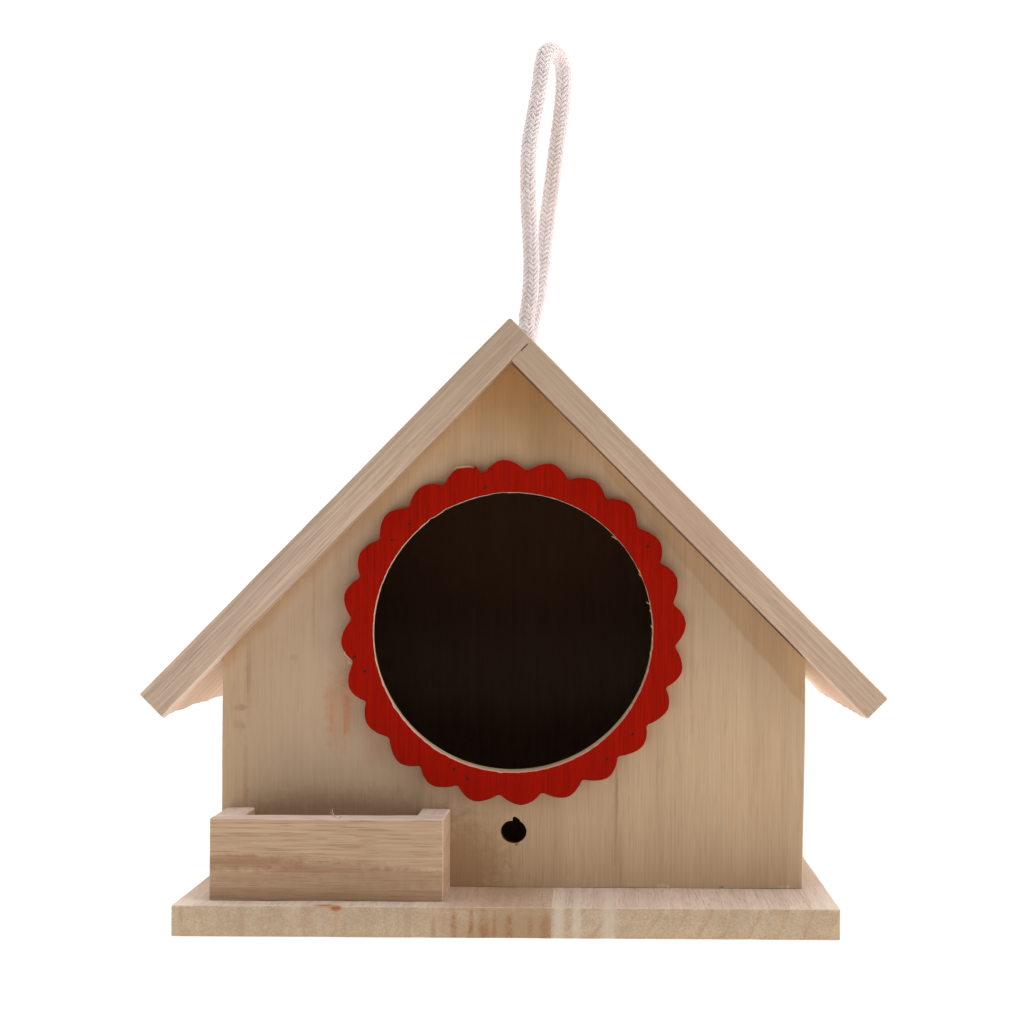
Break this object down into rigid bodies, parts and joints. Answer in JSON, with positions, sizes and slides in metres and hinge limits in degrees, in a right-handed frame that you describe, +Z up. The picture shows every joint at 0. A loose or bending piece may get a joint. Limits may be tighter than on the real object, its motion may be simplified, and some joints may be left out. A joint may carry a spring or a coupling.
{
  "type": "birdhouse",
  "caption": "Small hanging birdhouse of pale unfinished wood with a gabled roof, a round entrance in a red scalloped ring, a feeder tray in front and a cord loop on top.",
  "frame": {"origin": "the middle of the footprint, on the surface that the base stands on", "axes": "+Z up, +Y from the front to the back, +X to the right as seen from the front"},
  "size_m": [0.2346, 0.1526, 0.2934],
  "materials": {
    "base_wood": "sanded, unfinished, end grain at the front",
    "panel_wood": "sanded, unfinished, grain upright",
    "roof_wood": "sanded, unfinished, a little grey",
    "feeder_wood": "sanded, unfinished, grain along the tray",
    "red_stain": "red stain, matt, the hole's edge left bare",
    "steel": "dull steel wire brads",
    "cotton_cord": "braided cotton, undyed"
  },
  "bodies": {
    "root": {"back_panel": "panel_wood", "base_brad_back_left": "steel", "base_brad_back_right": "steel", "base_brad_feeder_left": "steel", "base_brad_feeder_right": "steel", "base_brad_front_left": "steel", "base_brad_front_right": "steel", "base_brad_left_1": "steel", "base_brad_left_2": "steel", "base_brad_right_1": "steel", "base_brad_right_2": "steel", "base_left_plank": "base_wood", "base_right_plank": "base_wood", "cord_knot": "cotton_cord", "entrance_ring": "red_stain", "feeder_front": "feeder_wood", "feeder_left_end": "feeder_wood", "feeder_right_end": "feeder_wood", "front_panel": "panel_wood", "hanging_cord": "cotton_cord", "left_wall": "panel_wood", "right_wall": "panel_wood", "ring_brad_01": "steel", "ring_brad_02": "steel", "ring_brad_03": "steel", "ring_brad_04": "steel", "ring_brad_05": "steel", "ring_brad_06": "steel", "ring_brad_07": "steel", "ring_brad_08": "steel", "ring_brad_09": "steel", "ring_brad_10": "steel", "roof_brad_left_back_1": "steel", "roof_brad_left_back_2": "steel", "roof_brad_left_back_3": "steel", "roof_brad_left_front_1": "steel", "roof_brad_left_front_2": "steel", "roof_brad_left_front_3": "steel", "roof_brad_right_back_1": "steel", "roof_brad_right_back_2": "steel", "roof_brad_right_back_3": "steel", "roof_brad_right_front_1": "steel", "roof_brad_right_front_2": "steel", "roof_brad_right_front_3": "steel", "roof_left": "roof_wood", "roof_right": "roof_wood"}
  },
  "joints": []
}
